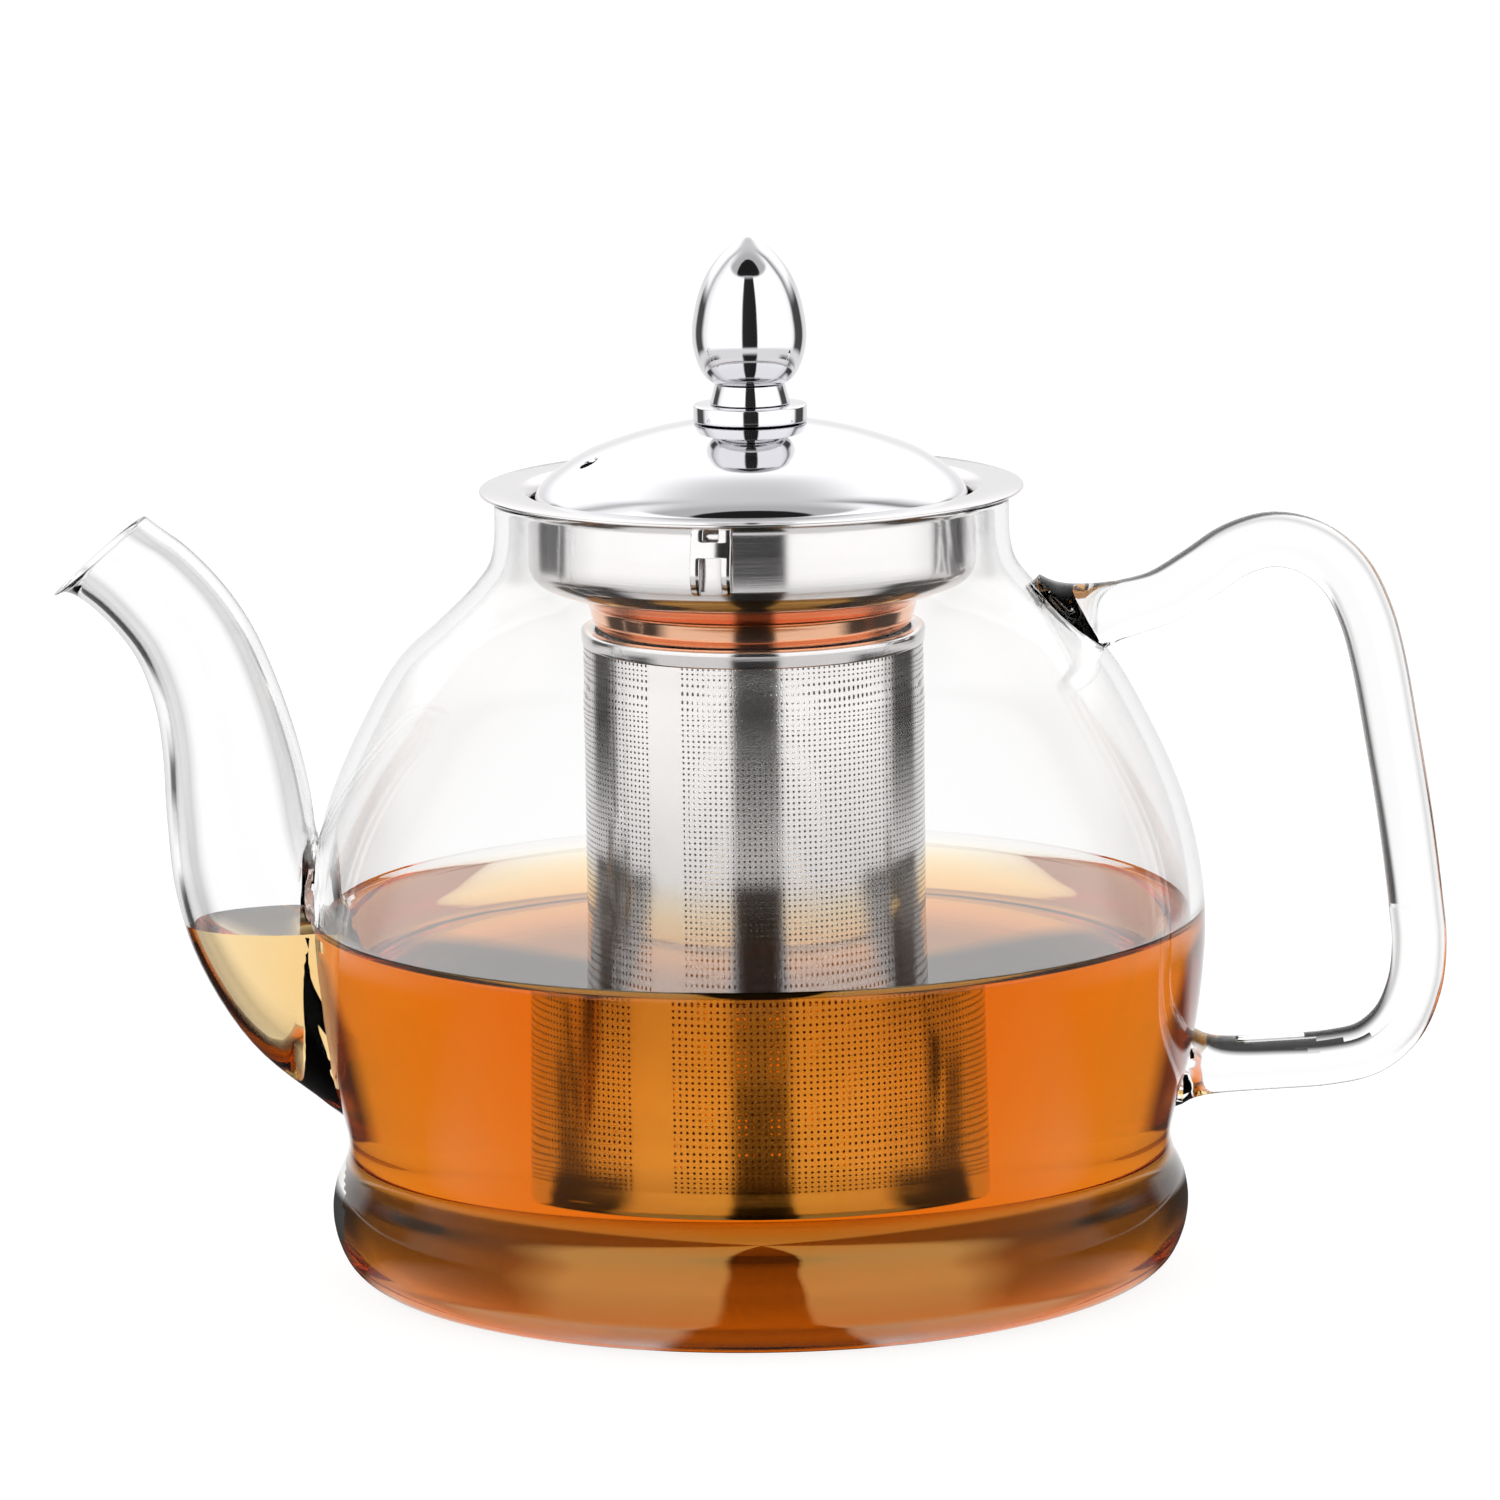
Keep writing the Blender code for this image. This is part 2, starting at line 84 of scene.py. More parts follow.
class Finish:
    def __init__(self, tree):
        self.tree = tree
        tree.nodes.clear()

    # any node: its settings first, then what its sockets hold or are linked to
    def node(self, kind, settings=None, sockets=None, out=0):
        made = self.tree.nodes.new(kind)
        for key, value in (settings or {}).items():
            if key == "stops":
                self.setStops(made.color_ramp, value)
            else:
                setattr(made, key, value)
        for key, value in (sockets or {}).items():
            if isinstance(value, Wire):
                self.tree.links.new(value.socket, made.inputs[key])
            else:
                made.inputs[key].default_value = value
        return Wire(self, made.outputs[out]) if made.outputs else made

    def setStops(self, ramp, stops):
        while len(ramp.elements) < len(stops):
            ramp.elements.new(0.5)
        for element, (place, value) in zip(ramp.elements, stops):
            element.position = place
            element.color = (value, value, value, 1) if isinstance(value, (int, float)) else (*value, 1)

    # objectPoint is the place on the piece in metres; roundAxis follows the turned surface
    def objectPoint(self):
        return self.node("ShaderNodeTexCoord", out=3)

    def roundAxis(self):
        place = self.node("ShaderNodeSeparateXYZ", None, {0: self.objectPoint()})
        x = place
        y = Wire(self, place.socket.node.outputs[1])
        z = Wire(self, place.socket.node.outputs[2])
        radius = self.node("ShaderNodeMath", {"operation": "SQRT"}, {0: x * x + y * y})
        angle = self.node("ShaderNodeMath", {"operation": "ARCTAN2"}, {0: y, 1: x})
        return radius, angle, z

    def noise(self, point, scale, detail=2.0, roughness=0.5):
        sockets = {"Vector": point, "Scale": scale, "Detail": detail, "Roughness": roughness}
        return self.node("ShaderNodeTexNoise", {"noise_dimensions": "3D"}, sockets)

    def vector(self, x, y, z):
        return self.node("ShaderNodeCombineXYZ", None, {0: x, 1: y, 2: z})

    def mixColour(self, factor, first, second):
        node = self.tree.nodes.new("ShaderNodeMix")
        node.data_type = "RGBA"
        for socket, value in ((node.inputs[0], factor), (node.inputs[6], first), (node.inputs[7], second)):
            if isinstance(value, Wire):
                self.tree.links.new(value.socket, socket)
            else:
                socket.default_value = value if isinstance(value, float) else (*value, 1)
        return Wire(self, node.outputs[2])

    def bump(self, height, strength, distance):
        sockets = {"Height": height, "Strength": strength, "Distance": distance}
        return self.node("ShaderNodeBump", None, sockets)

    def finishWith(self, shader, volume=None):
        sockets = {"Surface": shader}
        if volume:
            sockets["Volume"] = volume
        self.node("ShaderNodeOutputMaterial", None, sockets)


def newFinish(name):
    material = bpy.data.materials.new(name)
    material.use_nodes = True
    return material, Finish(material.node_tree)


glassLook = {
    "ior": 1.47, "wetIor": 1.103, "shine": 0.06, "ripple": 0.02, "rippleSize": 26.0,
    "smearSize": 90.0, "smooth": 0.003, "smeared": 0.006, "armsFrom": (0.064, 0.070),
    # the two edge ramps are painted shade: how dark the glass is painted as it turns edge-on
    "bodyEdgeShade": [(0.0, 1.0), (0.62, 0.97), (0.80, 0.86), (0.92, 0.45), (1.0, 0.22)],
    "armEdgeShade": [
        (0.0, 1.0), (0.20, 1.0), (0.33, 0.52), (0.42, 0.75), (0.50, 0.98), (0.66, 0.96), (0.80, 0.62),
        (0.90, 0.26), (1.0, 0.15),
    ],
    "edgeDepth": 1.5, "deep": 7.0, "deepPaintedGlow": 0.80,
}


# wet glass has tea against it, so light bends less there. Dark bands at the edges are painted shade, laid
# only on the first surfaces that light meets, and light caught inside the glass ends in a painted pale
# glow
def potGlass(name="potGlass", bending="ior"):
    material, f = newFinish(name)
    ripple = f.noise(f.objectPoint(), glassLook["rippleSize"], 1.0)
    smear = f.noise(f.objectPoint(), glassLook["smearSize"], 3.0)
    # painted shade: the glass is darkened by facing, in bands on the handle and spout
    facing = f.node("ShaderNodeLayerWeight", None, {"Blend": 0.5}, out=1)
    body = f.node("ShaderNodeValToRGB", {"stops": glassLook["bodyEdgeShade"]}, {0: facing})
    arms = f.node("ShaderNodeValToRGB", {"stops": glassLook["armEdgeShade"]}, {0: facing})
    place = f.node("ShaderNodeSeparateXYZ", None, {0: f.objectPoint()})
    side = f.node("ShaderNodeMath", {"operation": "ABSOLUTE"}, {0: place})
    onArm = smoothStep(f, side, *glassLook["armsFrom"])
    depth = f.node("ShaderNodeLightPath", out=8)
    inside = f.node("ShaderNodeMath", {"operation": "GREATER_THAN"}, {0: depth, 1: glassLook["edgeDepth"]})
    shader = f.node("ShaderNodeBsdfPrincipled", None, {
        "Base Color": f.mixColour(inside, f.mixColour(onArm, body, arms), (1.0, 1.0, 1.0)),
        "Roughness": glassLook["smooth"] + glassLook["smeared"] * smear ** 4.0,
        "IOR": glassLook[bending],
        "Transmission Weight": 1.0,
        "Specular Tint": (*[glassLook["shine"]] * 3, 1),
        "Normal": f.bump(ripple, glassLook["ripple"], 0.002),
    })
    # painted glow: light caught deep inside the glass is given a pale emission
    trapped = f.node("ShaderNodeMath", {"operation": "GREATER_THAN"}, {0: depth, 1: glassLook["deep"]})
    glow = f.node("ShaderNodeEmission", None, {"Strength": glassLook["deepPaintedGlow"]})
    f.finishWith(f.node("ShaderNodeMixShader", None, {0: trapped, 1: shader, 2: glow}))
    return material


teaLook = {
    "ior": 1.333, "colour": (0.950, 0.656, 0.008), "density": 48.0, "swirlSize": 40.0, "swirl": 0.01,
    "topBand": 0.02,
}


# only the tea's surface bends light here: round its sides the wet glass does it
def brewedTea():
    material, f = newFinish("brewedTea")
    swirl = f.noise(f.objectPoint(), teaLook["swirlSize"], 2.0)
    top = f.node("ShaderNodeBsdfPrincipled", None, {
        "Base Color": (1, 1, 1, 1),
        "Roughness": 0.0,
        "IOR": teaLook["ior"],
        "Transmission Weight": 1.0,
        "Normal": f.bump(swirl, teaLook["swirl"], 0.002),
    })
    place = f.node("ShaderNodeSeparateXYZ", None, {0: f.objectPoint()})
    z = Wire(f, place.socket.node.outputs[2])
    level = (potForm["teaLevel"] - teaLook["topBand"]) * mm
    onTop = f.node("ShaderNodeMath", {"operation": "GREATER_THAN"}, {0: z, 1: level})
    clear = f.node("ShaderNodeBsdfTransparent")
    shader = f.node("ShaderNodeMixShader", None, {0: onTop, 1: clear, 2: top})
    volume = f.node("ShaderNodeVolumeAbsorption", None, {
        "Color": (*teaLook["colour"], 1), "Density": teaLook["density"],
    })
    f.finishWith(shader, volume)
    return material


steelLook = {
    "bright": (0.70, 0.70, 0.72), "brightRough": 0.045,
    "satin": (0.68, 0.66, 0.66), "satinRough": 0.12,
    # the orange colour below is a painted reflection of the tea in the collar's throat
    "teaReflection": (0.88, 0.50, 0.32), "teaReflectionFrom": (0.0950, 0.0956), "teaReflectionTo": (0.1008, 0.1030),
    "sheet": (0.66, 0.64, 0.63), "sheetRough": 0.13,
}


def polishedSteel():
    material, f = newFinish("polishedSteel")
    radius, angle, z = f.roundAxis()
    buffing = f.noise(f.vector(radius * 900.0, angle * 1.5, z * 900.0), 1.0, 3.0)
    breath = f.noise(f.objectPoint(), 60.0, 3.0)
    colour = f.mixColour(breath, steelLook["bright"], tuple(0.94 * c for c in steelLook["bright"]))
    shader = f.node("ShaderNodeBsdfPrincipled", None, {
        "Base Color": colour,
        "Metallic": 1.0,
        "Roughness": steelLook["brightRough"] + 0.03 * breath ** 2.0,
        "Normal": f.bump(buffing, 0.02, 0.0002),
    })
    f.finishWith(shader)
    return material


# the throat hangs over the tea, and a band round it is painted with the tea's orange reflection
def satinSteel():
    material, f = newFinish("satinSteel")
    radius, angle, z = f.roundAxis()
    brushed = f.noise(f.vector(radius * 2600.0, angle * 2.0, z * 2600.0), 1.0, 3.0, 0.6)
    cloud = f.noise(f.objectPoint(), 45.0, 3.0)
    colour = f.mixColour(cloud, steelLook["satin"], tuple(0.90 * c for c in steelLook["satin"]))
    # painted reflection: a band round the throat takes the tea's orange colour
    throat = smoothStep(f, z, *steelLook["teaReflectionFrom"]) * (1.0 - smoothStep(f, z, *steelLook["teaReflectionTo"]))
    colour = f.mixColour(throat, colour, steelLook["teaReflection"])
    shader = f.node("ShaderNodeBsdfPrincipled", None, {
        "Base Color": colour,
        "Metallic": 1.0,
        "Roughness": steelLook["satinRough"] + 0.06 * (brushed - 0.5),
        "Normal": f.bump(brushed, 0.05, 0.0001),
    })
    f.finishWith(shader)
    return material


def perforatedSteel():
    material, f = newFinish("perforatedSteel")
    cloud = f.noise(f.objectPoint(), 70.0, 3.0)
    grain = f.noise(f.objectPoint(), 5200.0, 2.0)
    colour = f.mixColour(cloud, steelLook["sheet"], tuple(0.86 * c for c in steelLook["sheet"]))
    shader = f.node("ShaderNodeBsdfPrincipled", None, {
        "Base Color": colour,
        "Metallic": 1.0,
        "Roughness": steelLook["sheetRough"] + 0.08 * (grain - 0.5),
        "Normal": f.bump(grain, 0.08, 0.0001),
    })
    f.finishWith(shader)
    return material


stageLook = {
    "boxes": 1.6, "overhead": 0.62, "behind": 1.5, "near": 0.85, "albedo": 0.25, "plain": 1.0,
    "ring": [
        (0.0, 0.62), (0.115, 0.60), (0.135, 0.06), (0.19, 0.06), (0.215, 0.75), (0.27, 1.0),
        (0.456, 1.0), (0.464, 0.02), (0.543, 0.015), (0.549, 1.0),
        (0.73, 1.0), (0.775, 0.85), (0.795, 0.06), (0.865, 0.05), (0.885, 0.60), (1.0, 0.62),
    ],
    "nearRing": [
        (0.0, 1.0), (0.125, 1.0), (0.15, 0.06), (0.285, 0.06), (0.32, 1.0), (0.455, 1.0),
        (0.463, 0.02), (0.543, 0.02), (0.549, 1.0), (0.68, 1.0), (0.715, 0.06), (0.85, 0.06),
        (0.875, 1.0), (1.0, 1.0),
    ],
    # the floor's light round the pot's foot is dimmed by a painted shadow
    "nearFloor": (0.24, 0.32), "paintedPotShadow": (0.045, 0.075, 0.42),
    "whiteFloor": (0.36, 0.50), "sweep": (0.118, 0.093, 0.02), "sweepFrom": (-0.05, 0.05), "grain": 12.0,
    "backFrom": (0.12, 0.35), "backRound": (0.55, 0.70), "rearFrom": (-0.15, 0.10),
    "boxTop": (0.76, 0.82), "backTop": (0.80, 0.99), "topBack": 0.85,
    "patch": (-0.40, 0.42, 0.17), "patchEdge": (0.8, 1.1), "patchFrom": (0.55, 0.60), "patchDark": 0.97,
    "floorRadius": 14.0, "floorDrop": 0.0002,
}


# how bright the studio is in each direction round the pot: 0.5 is the front, 0 and 1 the back
def studioRing(f, x, y):
    turn = f.node("ShaderNodeMath", {"operation": "ARCTAN2"}, {0: x, 1: 0.0 - y}) / math.tau + 0.5
    ramp = f.node("ShaderNodeValToRGB", {"stops": stageLook["ring"]}, {0: turn})
    return ramp * stageLook["boxes"], turn


def smoothStep(f, value, low, high, start=0.0, end=1.0):
    sockets = {0: value, 1: low, 2: high, 3: start, 4: end}
    return f.node("ShaderNodeMapRange", {"interpolation_type": "SMOOTHSTEP"}, sockets)


def blend(first, second, share):
    return first + share * (second - first)


# the floor looks plain and pale; what the glass and steel pick up from it is the studio's light
def paleFloor():
    material, f = newFinish("paleFloor")
    place = f.node("ShaderNodeSeparateXYZ", None, {0: f.objectPoint()})
    x, y = place, Wire(f, place.socket.node.outputs[1])
    ring, turn = studioRing(f, x, y)
    distance = f.node("ShaderNodeMath", {"operation": "SQRT"}, {0: x * x + y * y})
    side = f.node("ShaderNodeMath", {"operation": "ABSOLUTE"}, {0: x})
    halfWidth, spread, softness = stageLook["sweep"]
    sweep = smoothStep(f, halfWidth + spread * y - side, 0.0, softness)
    sweep = sweep * smoothStep(f, y, *stageLook["sweepFrom"])
    far = smoothStep(f, distance, *stageLook["whiteFloor"]) * (1.0 - sweep)
    near = f.node("ShaderNodeValToRGB", {"stops": stageLook["nearRing"]}, {0: turn})
    # painted shadow: the floor's glow is dimmed under and round the pot's foot
    low, high, shade = stageLook["paintedPotShadow"]
    near = blend(near, stageLook["plain"], smoothStep(f, distance, *stageLook["nearFloor"]))
    near = near * smoothStep(f, distance, low, high, shade, 1.0)
    glow = blend(near, ring, far)
    grain = f.noise(f.objectPoint(), stageLook["grain"], 2.0)
    colour = f.mixColour(grain, (stageLook["albedo"],) * 3, (0.9 * stageLook["albedo"],) * 3)
    seen = f.node("ShaderNodeBsdfPrincipled", None, {
        "Base Color": colour, "Roughness": 0.9, "Specular IOR Level": 0.0,
        "Emission Color": (1, 1, 1, 1), "Emission Strength": stageLook["near"],
    })
    lit = f.node("ShaderNodeEmission", None, {"Color": f.vector(glow, glow, glow)})
    direct = f.node("ShaderNodeLightPath", out=0)
    f.finishWith(f.node("ShaderNodeMixShader", None, {0: direct, 1: lit, 2: seen}))
    material.cycles.emission_sampling = "NONE"
    return material


# outlines are lists of (radius, height) or (x, z), in millimetres
def roundLine(points, perSpan=8):
    points = [Vector(p) for p in points]
    ends = [2 * points[0] - points[1]] + points + [2 * points[-1] - points[-2]]
    made = []
    for index in range(len(points) - 1):
        p0, p1, p2, p3 = ends[index:index + 4]
        t1 = math.sqrt((p1 - p0).length)
        t2 = t1 + math.sqrt((p2 - p1).length)
        t3 = t2 + math.sqrt((p3 - p2).length)
        for step in range(perSpan):
            t = t1 + (t2 - t1) * step / perSpan
            a1 = p0 * ((t1 - t) / t1) + p1 * (t / t1)
            a2 = p1 * ((t2 - t) / (t2 - t1)) + p2 * ((t - t1) / (t2 - t1))
            a3 = p2 * ((t3 - t) / (t3 - t2)) + p3 * ((t - t2) / (t3 - t2))
            b1 = a1 * ((t2 - t) / t2) + a2 * (t / t2)
            b2 = a2 * ((t3 - t) / (t3 - t1)) + a3 * ((t - t1) / (t3 - t1))
            made.append(b1 * ((t2 - t) / (t2 - t1)) + b2 * ((t - t1) / (t2 - t1)))
    return made + [points[-1]]


def arcLine(centre, radius, start, end, count=10):
    return [
        Vector((centre[0] + radius * math.cos(a), centre[1] + radius * math.sin(a)))
        for a in (math.radians(start + (end - start) * i / count) for i in range(count + 1))
    ]


# moves a line sideways, to its left as it is walked
def besideLine(line, distance):
    made = []
    for index, point in enumerate(line):
        along = line[min(index + 1, len(line) - 1)] - line[max(index - 1, 0)]
        along.normalize()
        made.append(point + Vector((-along.y, along.x)) * distance)
    return made


# the outline of a bent sheet with round edges, from the line down its middle
def sheetOutline(line, thickness):
    left, right = besideLine(line, thickness / 2), besideLine(line, -thickness / 2)

    def edge(start, end):
        middle = (start + end) / 2
        turns = [Matrix.Rotation(-math.pi * step / 6, 2) for step in range(1, 6)]
        return [middle + turn @ (start - middle) for turn in turns]

    return left + edge(left[-1], right[-1]) + right[::-1] + edge(right[0], left[0])


def addPiece(name, bm, material, smoothAngle=35.0):
    mesh = bpy.data.meshes.new(name)
    bm.to_mesh(mesh)
    bm.free()
    mesh.shade_smooth()
    mesh.set_sharp_from_angle(angle=math.radians(smoothAngle))
    if material:
        mesh.materials.append(material)
    piece = bpy.data.objects.new(name, mesh)
    scene.collection.objects.link(piece)
    return piece


def turnOutline(bm, outline, steps, ring):
    corners = [bm.verts.new((p[0] * mm, 0, p[1] * mm)) for p in outline]
    edges = [bm.edges.new(pair) for pair in zip(corners, corners[1:])]
    if ring:
        edges.append(bm.edges.new((corners[-1], corners[0])))
    bmesh.ops.spin(bm, geom=corners + edges, cent=(0, 0, 0), axis=upright, dvec=(0, 0, 0),
                   angle=math.tau, steps=steps, use_merge=True, use_duplicate=False)
    bmesh.ops.remove_doubles(bm, verts=bm.verts, dist=2e-6)
    bmesh.ops.recalc_face_normals(bm, faces=bm.faces)


def turnedPiece(name, outline, material, steps=128, ring=True, smoothAngle=35.0):
    bm = bmesh.new()
    turnOutline(bm, outline, steps, ring)
    return addPiece(name, bm, material, smoothAngle)


# rings are (centre, across, halfAcross, halfWide): a tube through squashed circles in the XZ plane
def loftRings(rings, sides):
    bm = bmesh.new()
    loops = []
    for centre, across, halfAcross, halfWide in rings:
        side = Vector((across.x, 0, across.y))
        outwards = Vector((-across.y, 0, across.x))
        turn = Matrix((side, Vector((0, 1, 0)), outwards)).transposed().to_4x4()
        place = Matrix.Translation(Vector((centre.x, 0, centre.y)) * mm)
        size = Matrix.Diagonal((halfAcross * mm, halfWide * mm, 1, 1))
        made = bmesh.ops.create_circle(bm, segments=sides, radius=1, matrix=place @ turn @ size)
        ring = set(made["verts"])
        touching = {e for v in ring for e in v.link_edges}
        loops.append([e for e in touching if e.other_vert(e.verts[0]) in ring])
    for first, second in zip(loops, loops[1:]):
        bmesh.ops.bridge_loops(bm, edges=first + second)
    bmesh.ops.holes_fill(bm, edges=bm.edges, sides=0)
    bmesh.ops.recalc_face_normals(bm, faces=bm.faces)
    return bm


def joinSolids(piece, operation, *others):
    for other in others:
        modifier = piece.modifiers.new(operation.lower(), "BOOLEAN")
        modifier.operation = operation
        modifier.solver = "MANIFOLD"
        modifier.object = other
    graph = bpy.context.evaluated_depsgraph_get()
    solid = bpy.data.meshes.new_from_object(piece.evaluated_get(graph))
    piece.modifiers.clear()
    piece.data = solid
    for other in others:
        bpy.data.objects.remove(other)
    return piece


potForm = {
    "foot": [(50.0, 0.0), (58.6, 0.05), (61.4, 1.8), (63.1, 5.0), (63.8, 9.0), (63.2, 13.0)],
    "waist": [(61.7, 16.4), (61.2, 19.4), (62.1, 24.0)],
    "belly": [(64.3, 32.0), (66.0, 43.0), (66.5, 52.5), (65.4, 62.0), (62.9, 71.0), (58.2, 81.5)],
    "shoulder": [(52.6, 91.0), (47.0, 96.2), (43.8, 99.2), (41.0, 102.2)],
    "neck": [(38.9, 105.2), (38.1, 108.2), (37.9, 111.0), (37.9, 114.2)],
    "wall": 2.1, "floor": 1.8, "steps": 160, "teaLevel": 52.3, "bottomBand": 6,
}
spoutForm = {
    "sections": [
        ((-54.9, 20.3), (-55.4, 61.3), 16.0), ((-65.9, 26.1), (-64.4, 62.5), 14.8),
        ((-75.3, 33.9), (-65.5, 65.4), 13.4), ((-82.8, 46.0), (-65.8, 68.4), 12.0),
        ((-86.1, 56.7), (-66.1, 71.9), 11.1), ((-87.2, 68.2), (-67.0, 76.9), 10.3),
        ((-87.6, 78.2), (-68.3, 81.9), 9.6), ((-88.6, 85.3), (-70.4, 88.3), 9.1),
        ((-91.1, 92.2), (-73.7, 96.2), 8.8), ((-94.7, 97.2), (-77.8, 102.6), 8.6),
        ((-98.9, 101.1), (-83.3, 108.5), 8.6), ((-101.3, 102.2), (-87.0, 111.3), 8.7),
        ((-103.2, 101.6), (-89.4, 113.2), 8.8),
    ],
    "wall": 1.6, "perSpan": 5, "sides": 64, "swell": 1.5, "swellReach": 1.6, "startsAt": -60, "reach": 24,
}
handleForm = {
    "line": [
        (38.0, 95.8), (43.0, 96.3), (48.9, 96.9), (54.6, 97.6), (60.1, 99.1), (65.8, 102.5), (71.2, 106.0),
        (77.1, 107.5), (83.0, 105.9), (87.5, 102.0), (90.4, 96.3), (92.2, 89.8),
        (94.2, 78.7), (96.3, 65.7), (97.9, 52.7), (98.4, 46.6), (97.7, 40.3), (95.2, 34.5),
        (90.9, 30.8), (85.2, 29.4), (76.2, 28.8), (70.0, 28.5), (64.0, 28.3), (58.2, 28.2),
    ],
    "radius": 4.1, "sides": 40, "perSpan": 5, "swell": 2.4, "swellReach": 2.0,
}


def bodyOutside():
    runs = ("foot", "waist", "belly", "shoulder", "neck")
    return roundLine([p for run in runs for p in potForm[run]], 5)


def bodyInside():
    wall, floor = potForm["wall"], potForm["floor"]
    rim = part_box("glass_body")[1].z / mm
    side = [p for p in besideLine(bodyOutside(), wall) if p.y > floor + 2.4]
    corner = roundLine([(50.0, floor), (56.0, floor + 0.1), (58.6, floor + 0.9), tuple(side[0])], 5)[:-1]
    return [Vector((0, floor))] + corner + side + [Vector((side[-1].x, rim + 3.0))]


# the outer skin closed over the top, which the hollow is then cut from
def bodyBlank():
    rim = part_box("glass_body")[1].z / mm
    outside = bodyOutside()
    lip = arcLine((37.9 - 1.05, rim - 1.05), 1.05, 0, 90, 6)
    outline = [Vector((0, 0.7)), Vector((30.0, 0.6))] + outside + lip + [Vector((0, rim))]
    return turnedPiece("potBlank", outline, None, potForm["steps"], ring=False)


def spoutRings(inset, reach):
    sections = spoutForm["sections"]
    low = roundLine([s[0] for s in sections], spoutForm["perSpan"])
    high = roundLine([s[1] for s in sections], spoutForm["perSpan"])
    half = roundLine([(i, s[2]) for i, s in enumerate(sections)], spoutForm["perSpan"])
    rings = []
    for index, (a, b, wide) in enumerate(zip(low, high, half)):
        across = (b - a).normalized()
        centre = (a + b) / 2
        outwards = Vector((-across.y, across.x))
        if index == 0:
            centre = centre - outwards * reach
        if index == len(low) - 1:
            centre = centre + outwards * reach
        rings.append((centre, across, (b - a).length / 2 - inset, wide.y - inset))
    return rings


def handleRings():
    line = roundLine(handleForm["line"], handleForm["perSpan"])
    radius = handleForm["radius"]
    rings = []
    for index, point in enumerate(line):
        along = (line[min(index + 1, len(line) - 1)] - line[max(index - 1, 0)]).normalized()
        rings.append((point, Vector((along.y, -along.x)), radius, radius))
    return rings


# the melted joint: a tube swells towards the body's skin, most where it is closest to it
def swellJoint(piece, rings, form):
    outside = bodyOutside()
    for vertex in piece.data.vertices:
        centre = rings[min(vertex.index // form["sides"], len(rings) - 1)][0]
        away = vertex.co - Vector((centre.x, 0, centre.y)) * mm
        here = Vector((math.hypot(vertex.co.x, vertex.co.y), vertex.co.z)) / mm
        gap = min((here - p).length for p in outside)
        vertex.co += away.normalized() * (form["swell"] * math.exp(-gap / form["swellReach"]) * mm)


def roundSharpEdges(piece, size, segments, chosen):
    bm = bmesh.new()
    bm.from_mesh(piece.data)
    edges = [e for e in bm.edges if len(e.link_faces) == 2 and e.calc_face_angle() > 0.9 and chosen(e)]
    bmesh.ops.bevel(bm, geom=edges, offset=size * mm, segments=segments, profile=0.5,
                    affect="EDGES", material=-1)
    bmesh.ops.recalc_face_normals(bm, faces=bm.faces)
    bm.to_mesh(piece.data)
    bm.free()


# the faces that the tea lies against
def wetInside(pot):
    level = potForm["teaLevel"] * mm
    bm = bmesh.new()
    bm.from_mesh(pot.data)
    bmesh.ops.bisect_plane(bm, geom=bm.verts[:] + bm.edges[:] + bm.faces[:], dist=1e-6,
                           plane_co=(0, 0, level), plane_no=upright)
    line = [Vector((ring[0].x, 0, ring[0].y)) * mm for ring in spoutRings(0.0, 0.0)]
    bm.normal_update()
    for face in bm.faces:
        centre = face.calc_center_median()
        if centre.z > level:
            continue
        if centre.x < spoutForm["startsAt"] * mm:
            middle = min(line, key=lambda p: (centre - p).length)
            inside = face.normal.dot(centre - middle) < 0
            inside = inside and (centre - middle).length < spoutForm["reach"] * mm
        else:
            inside = face.normal.dot(Vector((centre.x, centre.y, 0))) < 0 or (
                centre.z < potForm["bottomBand"] * mm and face.normal.z > 0.3)
        face.material_index = 1 if inside else 0
    bm.to_mesh(pot.data)
    bm.free()


def makePot(glass, wetGlass):
    pot = bodyBlank()
    spout = addPiece("spoutBlank", loftRings(spoutRings(0.0, 0.0), spoutForm["sides"]), None)
    swellJoint(spout, spoutRings(0.0, 0.0), spoutForm)
    handle = addPiece("handleBlank", loftRings(handleRings(), handleForm["sides"]), None)
    swellJoint(handle, handleRings(), handleForm)
    joinSolids(pot, "UNION", spout, handle)
    hollow = turnedPiece("hollow", [*bodyInside(), Vector((0, bodyInside()[-1].y))], None,
                         potForm["steps"], ring=False)
    bore = addPiece("bore", loftRings(spoutRings(spoutForm["wall"], 3.0), spoutForm["sides"]), None)
    joinSolids(pot, "DIFFERENCE", hollow, bore)
    low, high = (Vector(p) for p in spoutForm["sections"][-1][:2])
    across = (high - low).normalized()

    def atMouth(edge):
        spots = [Vector((v.co.x, v.co.z)) / mm - low for v in edge.verts]
        return all(abs(s.x * across.y - s.y * across.x) < 0.05 for s in spots)

    roundSharpEdges(pot, 0.45, 4, atMouth)
    pot.name = "glassPot"
    pot.data.materials.clear()
    pot.data.materials.append(glass)
    pot.data.materials.append(wetGlass)
    wetInside(pot)
    pot.data.shade_smooth()
    pot.data.set_sharp_from_angle(angle=math.radians(40))
    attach(pot, "pot")
    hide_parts("glass_body", "glass_spout", "glass_handle")
    return pot


